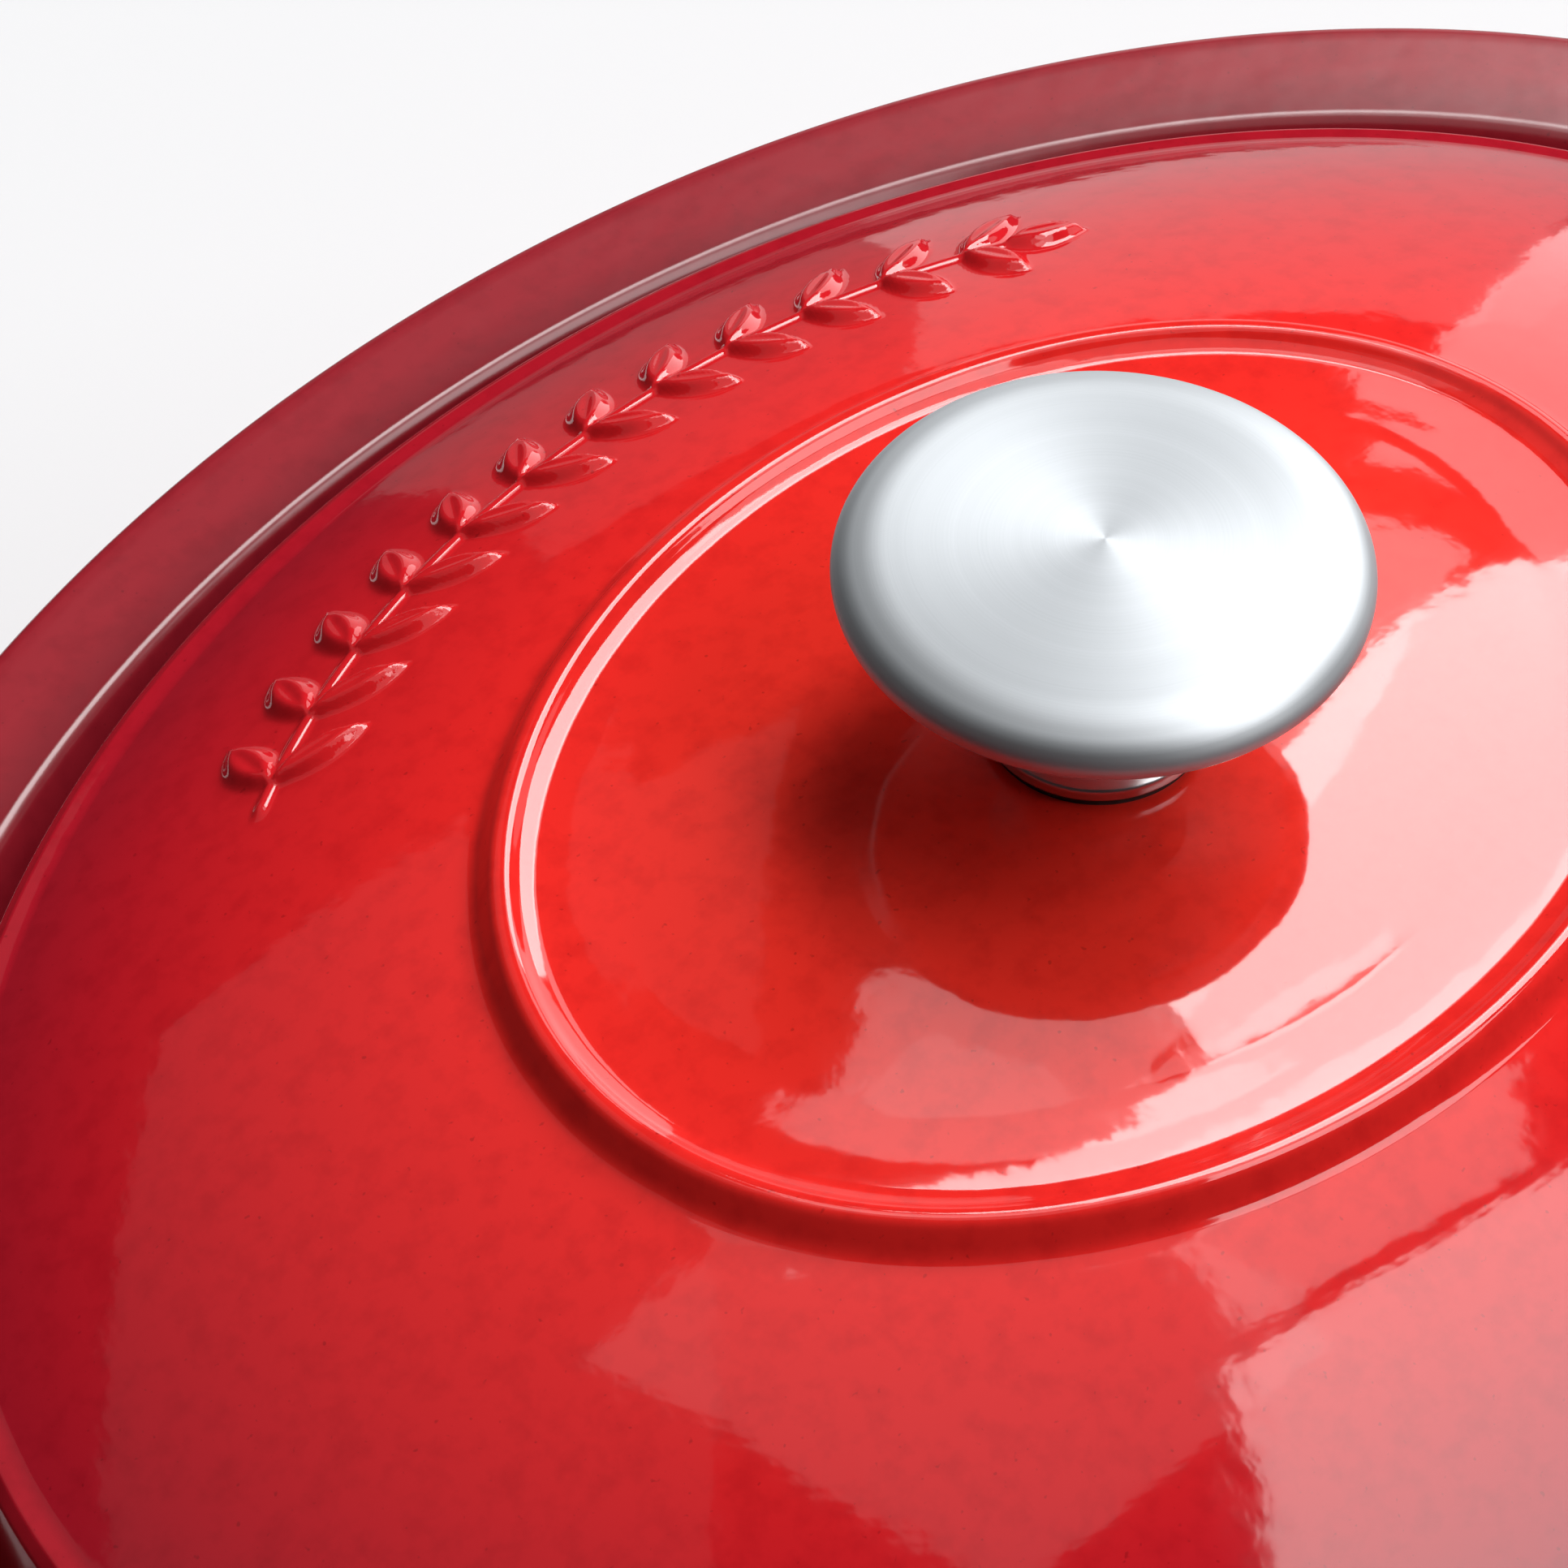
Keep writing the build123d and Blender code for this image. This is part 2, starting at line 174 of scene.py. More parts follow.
# ---- Lid shape ----
def dome(inward, steps=40):
    """The dome between shoulder and ring, a distance below its outer face."""
    edge = (SHOULDER[0] - DOME_EDGE, SHOULDER[1] - DOME_EDGE)
    foot = (RING[0] + RING_FOOT, RING[1] + RING_FOOT)
    low = SHOULDER_TOP + DOME_EDGE_LIFT
    high = RING_FOOT_TOP
    stations = []
    for step in range(steps + 1):
        share = step / steps
        rise = (1 + DOME_SWELL) * share - DOME_SWELL * share**2
        size = [a + (b - a) * share for a, b in zip(edge, foot)]
        rounding = DOME_EDGE_ROUND if step == 0 else 0.0
        stations.append((*size, low + (high - low) * rise - inward, rounding))
    return stations


def plateau(inward, steps=16):
    """The low crown inside the ring, up to the knob's round seat."""
    edge = (RING[0] - PLATEAU_INSET, RING[1] - PLATEAU_INSET)
    stations = []
    for step in range(steps + 1):
        share = step / steps
        height = PLATEAU_EDGE + (PLATEAU_TOP - PLATEAU_EDGE) * (1 - (1 - share) ** 2) - inward
        size = [a + (SEAT_RADIUS - a) * share for a in edge]
        stations.append((*size, height, 0.0))
    return stations


def between(first, second, share, height, rounding=0.0):
    """A station part of the way from one oval to another."""
    return (*(a + (b - a) * share for a, b in zip(first, second)), height, rounding)


def lid_outside():
    """The lid's top from the underside's edge to the screw hole."""
    flat_edge = off(RIM, -RIM_FLAT, 0)
    foot = off(SHOULDER, GROOVE_FOOT, 0)
    rim = [
        off(RIM, -4.0, -LID_RIM_THICKNESS),
        off(RIM, 0, -LID_RIM_THICKNESS, 1.5),
        off(RIM, 0, 0, 2.6),
        off(RIM, -RIM_FLAT, 0, 0.5),
        between(flat_edge, foot, GROOVE_BEND, GROOVE_BEND_HEIGHT, 1.0),
    ]
    shoulder = [
        off(SHOULDER, GROOVE_FOOT - 0.4, GROOVE, 0.8),
        off(SHOULDER, 0.35, SHOULDER_TOP - 1.1, 0.4),
        off(SHOULDER, -0.75, SHOULDER_TOP - 0.05, 0.35),
    ]
    ring = [
        off(RING, 3.2, RING_FOOT_TOP + 0.4, 1.5),
        off(RING, 1.6, RING_TOP - 0.1, 1.0),
        off(RING, 0.1, RING_TOP, 0.7),
        off(RING, -0.9, RING_TOP - 0.65, 0.5),
        off(RING, -2.3, PLATEAU_EDGE + 0.2, 0.8),
        off(RING, -5.6, PLATEAU_EDGE + 0.4, 2.0),
    ]
    seat = [(SCREW_HOLE, SCREW_HOLE, PLATEAU_TOP, 0.0)]
    return rim + shoulder + dome(0) + ring + plateau(0)[2:] + seat


def lid_inside(coat):
    """The lid's hollow from the skirt's mouth to the screw boss, under a coat of enamel."""
    mouth = SKIRT_OUTSIDE - 4.0 - coat
    under = GROOVE - LID_WALL - coat
    skirt = [
        off(RIM, mouth, -LID_RIM_THICKNESS - SKIRT_DEPTH),
        off(RIM, mouth - 0.8, under - 0.4, 0.8),
        off(RIM, mouth - 2.6, under - 0.1, 1.5),
        off(SHOULDER, GROOVE_FOOT - 0.6, under, 1.5),
        off(SHOULDER, -2.7 - coat, under + 0.8, 2.0),
        off(SHOULDER, -5.4 - coat, under + 5.9, 2.5),
    ]
    return skirt + dome(LID_WALL + DOME_EXTRA_WALL + coat)[5:] + plateau(LID_WALL + coat)[1:-1]


def lid_profile():
    """The lid's whole closed section, as rows of (length, width, height)."""
    boss = PLATEAU_TOP - LID_WALL - BOSS_DROP
    outside = densify(soften(lid_outside()), 2.0)
    hole = [np.array([SCREW_HOLE, SCREW_HOLE, PLATEAU_TOP - HOLE_DEPTH])]
    boss_face = [
        (SCREW_HOLE, SCREW_HOLE, boss, 0),
        (BOSS_RADIUS, BOSS_RADIUS, boss, 0.8),
        (BOSS_RADIUS, BOSS_RADIUS, boss + 1.4, 0.3),
    ]
    inside = lid_inside(0)[::-1]
    skirt = [
        off(RIM, SKIRT_OUTSIDE, -LID_RIM_THICKNESS - SKIRT_DEPTH, 0.8),
        off(RIM, SKIRT_OUTSIDE, -LID_RIM_THICKNESS, 0.6),
        off(RIM, -5.0, -LID_RIM_THICKNESS),
    ]
    return outside + hole + densify(soften(boss_face + inside + skirt, 4), 3.0)


# ---- Relief on the dome: a plain sprig of paired leaves ----
SPRIG_START = math.radians(127)
SPRIG_END = math.radians(50)
SPRIG_OVAL = (90.6, 68.4)
SPRIG_HEIGHT = 1.1
LEAF_PAIRS = 12
LEAF_LENGTH = 5.3
LEAF_WIDTH = 2.5
LEAF_LEAN = math.radians(46)
LEAF_SET_OFF = 3.1
VEIN_DEPTH = 0.16
VEIN_WIDTH = 0.5
STEM_HEIGHT = 0.42
STEM_HALF_WIDTH = 1.0
SPRIG_BARE_ENDS = 10
SPRIG_TIP = 4.5
OFF_SPRIG = -99
RELIEF_LEAN = 0.45
SPRIG_SIDE = 0.03
FINE_COLUMNS = 330
COARSE_COLUMNS = 420
SPRIG_ROWS = (75, 112)
SPRIG_ROW_SPACING = 0.42
SPRIG_LOWEST = 6
CASTING_WAVE = 0.02


def smooth(value):
    """0 below 0, 1 above 1, and eased between."""
    t = np.clip(value, 0, 1)
    return t * t * (3 - 2 * t)


def leaf(u, v, at_u, at_v, lean, length, width):
    """The height of one almond-shaped leaf with a sunk vein, from 0 to 1."""
    p = (u - at_u) * math.cos(lean) + (v - at_v) * math.sin(lean)
    q = -(u - at_u) * math.sin(lean) + (v - at_v) * math.cos(lean)
    inside = 1 - (p / length) ** 2 - np.abs(q) / width
    vein = VEIN_DEPTH * np.exp(-((q / VEIN_WIDTH) ** 2)) * smooth((length * 0.8 - np.abs(p)) / 1.0)
    return smooth(inside * 1.5) * (1 - vein)


def sprig_relief(x, y):
    """How far the sprig stands out of the dome at points of the lid."""
    angle = np.arctan2(y / SPRIG_OVAL[1], x / SPRIG_OVAL[0])
    radius = np.hypot(x / SPRIG_OVAL[0], y / SPRIG_OVAL[1])
    speed = np.hypot(SPRIG_OVAL[0] * np.sin(angle), SPRIG_OVAL[1] * np.cos(angle))
    fine = np.linspace(SPRIG_START, SPRIG_END, 400)
    step = np.hypot(SPRIG_OVAL[0] * np.sin(fine), SPRIG_OVAL[1] * np.cos(fine))
    travel = np.concatenate([[0], np.cumsum((step[1:] + step[:-1]) / 2 * -np.diff(fine))])
    u = np.interp(-angle, -fine, travel, left=OFF_SPRIG, right=OFF_SPRIG)
    v = (radius - 1) * SPRIG_OVAL[0] * SPRIG_OVAL[1] / speed
    length = travel[-1]
    stem = STEM_HEIGHT * smooth((STEM_HALF_WIDTH - np.abs(v)) / STEM_HALF_WIDTH)
    height = stem * smooth((u - 1) / 2) * smooth((length - 3 - u) / 2)
    pitch = (length - SPRIG_BARE_ENDS) / LEAF_PAIRS
    for k in range(LEAF_PAIRS):
        at = SPRIG_TIP + pitch * (k + 0.5)
        for side in (1, -1):
            shape = leaf(u, v, at, side * LEAF_SET_OFF, side * LEAF_LEAN, LEAF_LENGTH, LEAF_WIDTH)
            height = np.maximum(height, shape)
    tip = leaf(u, v, length - SPRIG_TIP, 0, 0, LEAF_LENGTH * 0.9, LEAF_WIDTH * 1.1)
    height = np.maximum(height, tip)
    return SPRIG_HEIGHT * height * (u > OFF_SPRIG)


def lid_angles():
    """Eccentric angles round the lid, close together where the sprig is."""
    start, end = SPRIG_END - SPRIG_SIDE, SPRIG_START + SPRIG_SIDE
    fine = np.linspace(start, end, FINE_COLUMNS, endpoint=False)
    coarse = np.linspace(end, start + 2 * math.pi, COARSE_COLUMNS, endpoint=False)
    return np.concatenate([fine, coarse])


def rows_near_sprig(path):
    """The lid's section with closer rows where the sprig crosses it."""
    rows = [path[0]]
    for before, after in zip(path, path[1:]):
        high_enough = after[2] > SPRIG_LOWEST and before[2] > SPRIG_LOWEST
        crossed = high_enough and SPRIG_ROWS[0] < (before[0] + after[0]) / 2 < SPRIG_ROWS[1]
        span = np.linalg.norm(after - before)
        count = max(1, math.ceil(span / SPRIG_ROW_SPACING)) if crossed and span < 5 else 1
        rows += [before + (after - before) * (k + 1) / count for k in range(count)]
    return rows


def casting_wave(x, y):
    """The slight unevenness of a sand casting under its enamel, in millimetres."""
    waves = ((0.061, 0.043, 0.3), (-0.047, 0.071, 1.9), (0.019, -0.088, 4.1), (0.103, 0.017, 2.6))
    return sum(np.sin(a * x + b * y + c) for a, b, c in waves) * CASTING_WAVE


def build_lid():
    """The lid casting, with the sprig and the casting's unevenness on its top only."""
    path = rows_near_sprig(lid_profile())
    angles = lid_angles()
    points = oval_points(path, angles)
    top = points[:, :, 2] > TOP_LEVEL
    at_hole = (k for k, row in enumerate(path) if k > EDGE_ROWS and row[0] <= SCREW_HOLE + 0.01)
    top[next(at_hole):] = False
    relief = sprig_relief(points[:, :, 0], points[:, :, 1])
    outward_x = points[:, :, 0] / SPRIG_OVAL[0] ** 2
    outward_y = points[:, :, 1] / SPRIG_OVAL[1] ** 2
    size = np.hypot(outward_x, outward_y) + 1e-9
    points[:, :, 2] += np.where(top, relief + casting_wave(points[:, :, 0], points[:, :, 1]), 0)
    points[:, :, 0] += np.where(top, relief * RELIEF_LEAN * outward_x / size, 0)
    points[:, :, 1] += np.where(top, relief * RELIEF_LEAN * outward_y / size, 0)
    points[:, :, 2] += LID_PLANE
    faces = loop_faces(len(path), len(angles), True)
    points = points.reshape(-1, 3)
    return make_object("lid_casting", points, faces, "lid", "red_enamel_lid", "lid_body")


def build_lid_lining():
    columns = np.linspace(0, 2 * math.pi, LINING_COLUMNS, endpoint=False)
    outer = densify(soften(lid_inside(LINING_GAP), 4), 3.0)
    inner = densify(soften(lid_inside(LINING_GAP + ENAMEL), 4), 3.0)
    points = oval_points(outer + inner[::-1], columns)
    points[:, :, 2] += LID_PLANE
    faces = loop_faces(len(outer) + len(inner), len(columns), True)
    points = points.reshape(-1, 3)
    return make_object(
        "lid_cream_enamel", points, faces, "lid", "cream_enamel", "lid_enamel_lining"
    )


# ---- Pot ----
def wall_offset(height):
    """How far the wall stands inside the pot's rim at a height."""
    return -RIM_BAND - WALL_TAPER * max(0.0, 1 - height / POT_HEIGHT) ** 1.5


def wall(first, last, inward, steps=24):
    """Stations up the wall between two heights, a distance inside its outer face."""
    heights = [first + (last - first) * step / steps for step in range(steps + 1)]
    return [off(POT_RIM, wall_offset(height) - inward, height) for height in heights]


def corner(centre_offset, centre_height, radius, steps=10):
    """Stations round a lower corner, from straight down to straight out."""
    stations = []
    for step in range(steps + 1):
        angle = -math.pi / 2 * (1 - step / steps)
        offset = centre_offset + radius * math.cos(angle)
        stations.append(off(POT_RIM, offset, centre_height + radius * math.sin(angle)))
    return stations


def pot_outside():
    band_foot = POT_HEIGHT - RIM_BAND_HEIGHT
    base = corner(wall_offset(BASE_CORNER) - BASE_CORNER, BASE_CORNER, BASE_CORNER)
    side = wall(BASE_CORNER, band_foot - 2.4, 0)
    band = [
        off(POT_RIM, wall_offset(band_foot) + 0.05, band_foot - 1.2, 1.0),
        off(POT_RIM, 0, band_foot + 0.6, 1.0),
        off(POT_RIM, 0, POT_HEIGHT, 1.8),
    ]
    return base + side[1:] + band


def pot_inside(coat):
    floor = FLOOR + coat
    radius = CAVITY_CORNER - coat
    middle = floor + radius
    floor_corner = corner(wall_offset(middle) - WALL - coat - radius, middle, radius)
    return floor_corner + wall(middle, POT_HEIGHT, WALL + coat)[1:]


def disc_rows(station, rings=12):
    """Rows from near the axis out to a station, for a flat floor or base."""
    length, width, height = station[:3]
    return [np.array([length * k / rings, width * k / rings, height]) for k in range(1, rings)]


def capped_skin(outer, inner, columns):
    """A cup: an outer skin, a mouth and an inner skin, with its base and floor closed."""
    angles = np.linspace(0, 2 * math.pi, columns, endpoint=False)
    rows = disc_rows(outer[0]) + outer + inner[::-1] + disc_rows(inner[0])[::-1]
    points = oval_points(rows, angles)
    faces = loop_faces(len(rows), columns, False)
    points = points.reshape(-1, 3)
    base, floor = len(points), len(points) + 1
    centres = [(0, 0, rows[0][2]), (0, 0, rows[-1][2])]
    last = (len(rows) - 1) * columns
    faces += [((c + 1) % columns, c, base) for c in range(columns)]
    faces += [(last + c, last + (c + 1) % columns, floor) for c in range(columns)]
    return np.concatenate([points, centres]), faces


# Loop handles
HANDLE_TOP = POT_HEIGHT - 5.0
HANDLE_THICKNESS = 12.0
HANDLE_ROOT = 112.0
HANDLE_ARM = 18.0
HANDLE_BAR = 15.0
HANDLE_SPLAY = 5.0
HANDLE_HALF_WIDTH = 54.0
HANDLE_BEND = 22.0
HANDLE_SQUARENESS = 0.72
HANDLE_FLARE = 3.2
HANDLE_INSIDE = 3.2


def handle_line():
    """The centre line of a handle in plan, with its two bends rounded, and its width along it."""
    x_bar = HANDLE_REACH - HANDLE_BAR / 2
    y_root = HANDLE_HALF_WIDTH + HANDLE_SPLAY - HANDLE_ARM / 2
    y_bar = HANDLE_HALF_WIDTH - HANDLE_SPLAY - HANDLE_ARM / 2
    turns = [
        (HANDLE_ROOT, -y_root, HANDLE_ARM, 0.0),
        (x_bar, -y_bar, HANDLE_BAR, HANDLE_BEND),
        (x_bar, y_bar, HANDLE_BAR, HANDLE_BEND),
        (HANDLE_ROOT, y_root, HANDLE_ARM, 0.0),
    ]
    return np.array(densify(soften(turns, 14), 2.0))


def build_handle(side):
    """One loop handle as a rounded bar that flares where it runs into the wall."""
    line = handle_line()
    tangent = np.gradient(line[:, :2], axis=0)
    tangent /= np.linalg.norm(tangent, axis=1)[:, None]
    across = np.stack([tangent[:, 1], -tangent[:, 0]], axis=1)
    sides = np.linspace(0, 2 * math.pi, 40, endpoint=False)
    round_x = np.sign(np.cos(sides)) * np.abs(np.cos(sides)) ** HANDLE_SQUARENESS
    round_z = np.sign(np.sin(sides)) * np.abs(np.sin(sides)) ** HANDLE_SQUARENESS
    middle = HANDLE_TOP - HANDLE_THICKNESS / 2
    points = np.zeros((len(line), len(sides), 3))
    for k, (x, y, width) in enumerate(line):
        wall_x = (POT_RIM[0] - 1) * math.sqrt(max(0, 1 - (y / (POT_RIM[1] - 1)) ** 2))
        flare = HANDLE_FLARE * math.exp(-max(0.0, x - wall_x - 1.5) / HANDLE_FLARE)
        half = width / 2 + flare
        points[k, :, 0] = x + across[k, 0] * round_x * half
        points[k, :, 1] = y + across[k, 1] * round_x * half
        points[k, :, 2] = middle + round_z * (HANDLE_THICKNESS / 2 + flare * 0.8)
    across_wall = points[:, :, 1] / (POT_RIM[1] - HANDLE_INSIDE)
    inner_x = (POT_RIM[0] - HANDLE_INSIDE) * np.sqrt(np.clip(1 - across_wall**2, 0, 1))
    points[:, :, 0] = np.maximum(points[:, :, 0], inner_x)
    points[:, :, 2] = np.minimum(points[:, :, 2], POT_HEIGHT - 1.0)
    points = points.reshape(-1, 3)
    faces = loop_faces(len(line), len(sides), False)
    last = (len(line) - 1) * len(sides)
    faces.append(tuple(range(len(sides)))[::-1])
    faces.append(tuple(last + c for c in range(len(sides))))
    if side < 0:
        points = points * [-1, 1, 1]
        faces = [face[::-1] for face in faces]
    return points, faces


def build_pot():
    outer = densify(soften(pot_outside()), 4.0)
    inner = densify(soften(pot_inside(0)), 4.0)
    points, faces = capped_skin(outer, inner, POT_COLUMNS)
    for side in (1, -1):
        handle_points, handle_faces = build_handle(side)
        start = len(points)
        points = np.concatenate([points, handle_points])
        faces += [tuple(start + index for index in face) for face in handle_faces]
    return make_object("pot_casting", points, faces, "pot", "red_enamel", "pot_body")


def build_pot_lining():
    outer = densify(soften(pot_inside(LINING_GAP)), 5.0)
    inner = densify(soften(pot_inside(LINING_GAP + ENAMEL)), 5.0)
    points, faces = capped_skin(outer, inner, LINING_COLUMNS)
    return make_object(
        "pot_cream_enamel", points, faces, "pot", "cream_enamel", "pot_enamel_lining"
    )


# ---- Knob ----
def lathe(name, profile, columns, slot, node, spacing=0.6):
    """A turned piece from a section of (radius, height, rounding) that ends on the axis."""
    stations = [(r, r, z, rounding) for r, z, rounding in profile]
    path = densify(soften(stations, 8), spacing)
    angles = np.linspace(0, 2 * math.pi, columns, endpoint=False)
    middle = path[1:-1]
    points = oval_points(middle, angles).reshape(-1, 3)
    faces = loop_faces(len(middle), columns, False)
    first, last = len(points), len(points) + 1
    end = (len(middle) - 1) * columns
    points = np.concatenate([points, [(0, 0, path[0][2]), (0, 0, path[-1][2])]])
    faces += [((c + 1) % columns, c, first) for c in range(columns)]
    faces += [(end + c, end + (c + 1) % columns, last) for c in range(columns)]
    points[:, 2] += SEAT
    return make_object(name, points, faces, "lid", slot, node)


KNOB_RADIUS = 24.2
KNOB_CAP = [
    (0, 24.1, 0), (6, 24.04, 3), (12, 23.86, 3), (17.5, 23.54, 2.5), (20.6, 23.1, 1.8),
    (23.1, 22.0, 1.3), (24.1, 20.7, 0.8), (24.2, 19.8, 0.4), (23.9, 19.0, 0.3), (22.9, 19.0, 0.2),
    (22.9, 20.4, 0.6), (22.0, 21.3, 0.8), (17.5, 22.54, 1), (0, 23.1, 0),
]
KNOB_UNDERPAN = [
    (0, 15, 0), (9.5, 15, 1), (21.5, 17.2, 1.2), (23.9, 19.0, 0.2), (22.9, 19.0, 0.2),
    (21.0, 18.2, 0.8), (9.3, 16, 0.5), (0, 16, 0),
]
KNOB_STEM = [
    (0, 15, 0), (9.5, 15, 0.2), (8.0, 11.5, 2.5), (7.5, 7.0, 3), (8.6, 3.6, 2.0), (10.5, 2.2, 0.4),
    (10.5, 1.0, 0.3), (3.05, 1.0, 0.1), (3.05, 12.0, 0.1), (0, 12.0, 0),
]


def build_knob():
    cap = lathe("knob_top", KNOB_CAP, 320, "brushed_knob_steel", "knob_cap", 0.4)
    underpan = lathe("knob_underside", KNOB_UNDERPAN, 240, "satin_steel", "knob_underpan")
    stem = lathe("knob_neck", KNOB_STEM, 160, "satin_steel", "knob_stem")
    return cap, underpan, stem


# ---- Materials ----
ENAMEL_IOR = 1.5


class Graph:
    """A material and short ways to add nodes to it."""

    def __init__(self, name):
        self.material = bpy.data.materials.new(name)
        self.material.use_nodes = True
        self.nodes = self.material.node_tree.nodes
        self.links = self.material.node_tree.links
        self.shader = self.nodes["Principled BSDF"]

    def add(self, kind, **inputs):
        node = self.nodes.new(kind)
        for name, value in inputs.items():
            self.put(node, name.replace("_", " "), value)
        return node

    def put(self, node, socket, value):
        target = node.inputs[socket]
        if isinstance(value, bpy.types.NodeSocket):
            self.links.new(value, target)
        else:
            target.default_value = value

    def maths(self, operation, first, second=0.0):
        node = self.nodes.new("ShaderNodeMath")
        node.operation = operation
        for index, value in enumerate((first, second)):
            if isinstance(value, bpy.types.NodeSocket):
                self.links.new(value, node.inputs[index])
            else:
                node.inputs[index].default_value = value
        return node.outputs[0]

    def object_point(self):
        return self.nodes.new("ShaderNodeTexCoord").outputs["Object"]

    def noise(self, scale, detail=2.0, roughness=0.5, point=None):
        node = self.add("ShaderNodeTexNoise", Scale=scale, Detail=detail, Roughness=roughness)
        self.links.new(point or self.object_point(), node.inputs["Vector"])
        return node.outputs["Fac"]

    def ramp(self, value, stops):
        node = self.nodes.new("ShaderNodeValToRGB")
        node.color_ramp.elements.remove(node.color_ramp.elements[1])
        for index, (position, colour) in enumerate(stops):
            elements = node.color_ramp.elements
            element = elements[0] if index == 0 else elements.new(position)
            element.position = position
            element.color = (*colour, 1.0)
        self.links.new(value, node.inputs["Fac"])
        return node.outputs["Color"]

    def multiply(self, first, second):
        """Two colours multiplied."""
        node = self.nodes.new("ShaderNodeMix")
        node.data_type = "RGBA"
        node.blend_type = "MULTIPLY"
        sockets = {socket.name: socket for socket in node.inputs if socket.enabled}
        sockets["Factor"].default_value = 1.0
        self.links.new(first, sockets["A"])
        self.links.new(second, sockets["B"])
        return next(socket for socket in node.outputs if socket.enabled)

    def bump(self, height, strength, distance, normal=None):
        node = self.add("ShaderNodeBump", Strength=strength, Distance=distance, Height=height)
        if normal:
            self.links.new(normal, node.inputs["Normal"])
        return node.outputs["Normal"]

    def oval_radius(self):
        """How far out a point lies, 0 at the axis and 1 at the lid's rim, and its height."""
        parts = self.add("ShaderNodeSeparateXYZ", Vector=self.object_point()).outputs
        squares = []
        for axis, reach in (("X", RIM[0]), ("Y", RIM[1])):
            share = self.maths("ABSOLUTE", self.maths("DIVIDE", parts[axis], reach * MM))
            squares.append(self.maths("POWER", share, 2.0))
        return self.maths("SQRT", self.maths("ADD", *squares)), parts["Z"]


def set_gloss(graph, roughness):
    graph.put(graph.shader, "Roughness", roughness)
    graph.shader.inputs["IOR"].default_value = ENAMEL_IOR


def red_enamel(name, stops, roughness_stops, height_based):
    """Glossy red enamel, deeper at the edges, finely mottled, with a faint ripple. The lid's stops
    also darken its groove with painted shade.
    """
    graph = Graph(name)
    radius, height = graph.oval_radius()
    value = graph.maths("DIVIDE", height, POT_HEIGHT * MM) if height_based else radius
    drift = graph.maths("MULTIPLY", graph.maths("SUBTRACT", graph.noise(14, 2), 0.5), 0.05)
    base = graph.ramp(graph.maths("ADD", value, drift), stops)
    mottle = graph.ramp(graph.noise(330, 3, 0.6), [(0.3, (0.88, 0.80, 0.84)), (0.55, (1.0,) * 3)])
    coloured = graph.multiply(base, mottle)
    specks = graph.ramp(graph.noise(1500, 1, 0.4), [(0.2, (0.72,) * 3), (0.27, (1.0,) * 3)])
    coloured = graph.multiply(coloured, specks)
    graph.put(graph.shader, "Base Color", coloured)
    ripple = graph.bump(graph.noise(110, 2), 0.10, 0.0006)
    peel = graph.bump(graph.noise(420, 2), 0.03, 0.0003, ripple)
    graph.put(graph.shader, "Normal", peel)
    rough = graph.ramp(graph.maths("ADD", value, drift), roughness_stops)
    set_gloss(graph, rough)
    return graph.material


def cream_enamel():
    graph = Graph("cream_enamel")
    warm = graph.ramp(graph.noise(60, 3), [(0.3, (0.72, 0.66, 0.53)), (0.7, (0.80, 0.75, 0.63))])
    specks = graph.ramp(graph.noise(900, 1), [(0.25, (0.55,) * 3), (0.31, (1.0,) * 3)])
    graph.put(graph.shader, "Base Color", graph.multiply(warm, specks))
    graph.put(graph.shader, "Normal", graph.bump(graph.noise(160, 2), 0.08, 0.0005))
    set_gloss(graph, 0.12)
    return graph.material


def turned_steel(name, roughness, edge_roughness, anisotropy, colour):
    """Steel turned on a lathe: fine rings round the axis and a fan-shaped sheen."""
    graph = Graph(name)
    parts = graph.add("ShaderNodeSeparateXYZ", Vector=graph.object_point()).outputs
    x = graph.maths("POWER", graph.maths("ABSOLUTE", parts["X"]), 2.0)
    y = graph.maths("POWER", graph.maths("ABSOLUTE", parts["Y"]), 2.0)
    radius = graph.maths("SQRT", graph.maths("ADD", x, y))
    ring_point = graph.add("ShaderNodeCombineXYZ", X=radius).outputs[0]
    rings = graph.noise(5200, 2, 0.6, ring_point)
    bands = graph.noise(420, 2, 0.5, ring_point)
    grain = graph.maths("MULTIPLY", graph.maths("ADD", rings, bands), 0.5)
    tone = graph.ramp(grain, [(0.3, tuple(c * 0.9 for c in colour)), (0.7, colour)])
    graph.put(graph.shader, "Base Color", tone)
    graph.shader.inputs["Metallic"].default_value = 1.0
    share = graph.maths("DIVIDE", radius, KNOB_RADIUS * MM)
    finish = graph.ramp(share, [(0.74, (roughness,) * 3), (0.88, (edge_roughness,) * 3)])
    graph.put(graph.shader, "Roughness", finish)
    graph.shader.inputs["Anisotropic"].default_value = anisotropy
    graph.shader.inputs["Anisotropic Rotation"].default_value = 0.25
    tangent = graph.nodes.new("ShaderNodeTangent")
    tangent.direction_type = "RADIAL"
    tangent.axis = "Z"
    graph.links.new(tangent.outputs[0], graph.shader.inputs["Tangent"])
    graph.put(graph.shader, "Normal", graph.bump(rings, 0.12, 0.00004))
    return graph.material


def plain_steel():
    graph = Graph("fastener_steel")
    tone = graph.ramp(graph.noise(700, 2), [(0.3, (0.5, 0.5, 0.51)), (0.7, (0.66, 0.66, 0.67))])
    graph.put(graph.shader, "Base Color", tone)
    graph.shader.inputs["Metallic"].default_value = 1.0
    graph.put(graph.shader, "Roughness", graph.maths("MULTIPLY", graph.noise(300, 2), 0.5))
    return graph.material


